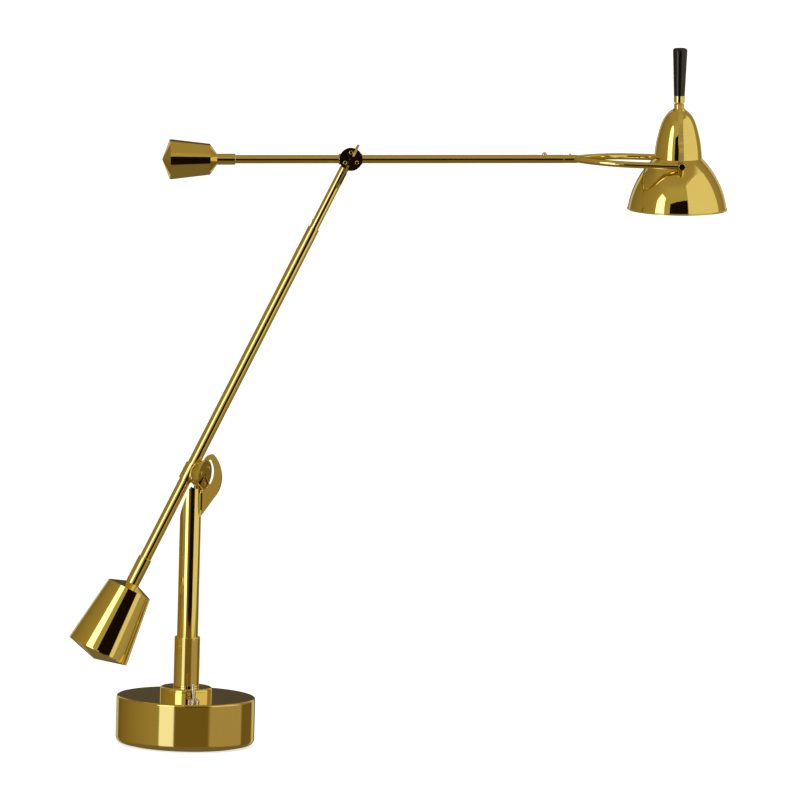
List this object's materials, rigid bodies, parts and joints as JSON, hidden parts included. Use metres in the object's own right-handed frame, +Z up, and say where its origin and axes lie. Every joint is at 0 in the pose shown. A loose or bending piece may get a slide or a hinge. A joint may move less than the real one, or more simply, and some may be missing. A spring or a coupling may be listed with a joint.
{
  "type": "desk lamp",
  "caption": "Polished brass desk lamp with a round weighted base, swivel stem, counterweighted balance arms and a tilting bell shade held in a fork.",
  "frame": {"origin": "centre of the base's underside, on the lower face of the felt pad", "axes": "+Z up along the stem, +X from the stem towards the shade, -Y towards the switch at the front"},
  "size_m": [0.7064, 0.2084, 0.7698],
  "materials": {
    "polished_brass": "mirror-polished and lacquered",
    "plated_steel": "machined, zinc plated",
    "cast_iron": "as cast",
    "felt": "pressed felt",
    "black_rubber": "matt",
    "black_plastic": "gloss black",
    "bright_nickel": "bright nickel plating",
    "nylon": "moulded",
    "lamp_glass": "opal white glass"
  },
  "bodies": {
    "base": {"base_shell": "polished_brass", "base_ballast": "cast_iron", "base_floor_plate": "plated_steel", "base_felt": "felt", "base_tie_screws": "plated_steel", "base_collar": "polished_brass", "swivel_bush": "polished_brass", "cord_gland": "black_rubber", "switch_body": "black_plastic", "switch_bushing": "bright_nickel", "switch_nut": "bright_nickel"},
    "toggle": {"switch_lever": "bright_nickel"},
    "stem": {"stem_spindle": "plated_steel", "spindle_washer": "plated_steel", "spindle_nut": "plated_steel", "stem_sleeve": "polished_brass", "stem_tube": "polished_brass", "stem_head": "polished_brass", "stem_head_cap": "polished_brass", "stem_cap_screws": "polished_brass", "stem_crescent": "polished_brass"},
    "lower_arm": {"lower_hub": "polished_brass", "lower_pivot": "plated_steel", "lower_friction_washer": "nylon", "lower_arm_tube": "polished_brass", "lower_lock_screw": "polished_brass", "lower_weight_sleeve": "polished_brass", "lower_weight": "polished_brass", "lower_weight_end": "polished_brass"},
    "elbow": {"elbow_stub": "polished_brass", "stub_screw": "polished_brass", "elbow_head": "polished_brass", "elbow_head_cap": "polished_brass", "elbow_cap_screws": "polished_brass", "elbow_crescent": "polished_brass"},
    "upper_arm": {"elbow_hub": "polished_brass", "elbow_pivot": "plated_steel", "elbow_friction_washer": "nylon", "upper_arm_tube": "polished_brass", "upper_weight_sleeve": "polished_brass", "upper_weight": "polished_brass", "upper_weight_end": "polished_brass", "fork_stop_pin": "polished_brass"},
    "fork": {"fork_socket": "polished_brass", "fork_socket_pin": "polished_brass", "fork_hoop": "polished_brass", "trunnion_screws": "polished_brass"},
    "shade": {"shade_bell": "polished_brass", "shade_dome": "polished_brass", "ferrule_spacer": "polished_brass", "shade_yoke": "polished_brass", "shade_ferrule": "polished_brass", "shade_handle": "black_plastic", "handle_rod": "plated_steel", "rod_nut": "polished_brass", "lampholder": "black_plastic", "bulb": "lamp_glass", "shade_trunnions": "polished_brass"}
  },
  "joints": [
    {"name": "switch_toggle", "type": "hinge", "parent": "base", "child": "toggle", "pos_m": [0.0093, -0.0568, 0.0527], "axis": [0.8988, 0.4384, 0], "range_deg": [0, 24]},
    {"name": "stem_swivel", "type": "hinge", "parent": "base", "child": "stem", "pos_m": [0, 0, 0.06], "axis": [0, 0, 1], "range_deg": [-170, 170]},
    {"name": "lower_arm_swing", "type": "hinge", "parent": "stem", "child": "lower_arm", "pos_m": [-0.00271, 0.00129, 0.2989], "axis": [0.8992, -0.427, -0.0958], "range_deg": [-60, 60]},
    {"name": "elbow_swivel", "type": "hinge", "parent": "lower_arm", "child": "elbow", "pos_m": [0.16314, 0.04595, 0.6429], "axis": [0.4313, 0.1162, 0.8947], "range_deg": [-150, 150]},
    {"name": "upper_arm_tilt", "type": "hinge", "parent": "elbow", "child": "upper_arm", "pos_m": [0.16436, 0.05389, 0.64128], "axis": [-0.0504, 0.9932, -0.1046], "range_deg": [-35, 60]},
    {"name": "fork_swivel", "type": "hinge", "parent": "upper_arm", "child": "fork", "pos_m": [0.41066, 0.06694, 0.64638], "axis": [0.9984, 0.0529, 0.0206], "range_deg": [-90, 90]},
    {"name": "shade_tilt", "type": "hinge", "parent": "fork", "child": "shade", "pos_m": [0.52233, 0.07769, 0.64448], "axis": [-0.0958, 0.9954, 0], "range_deg": [-45, 26]}
  ]
}
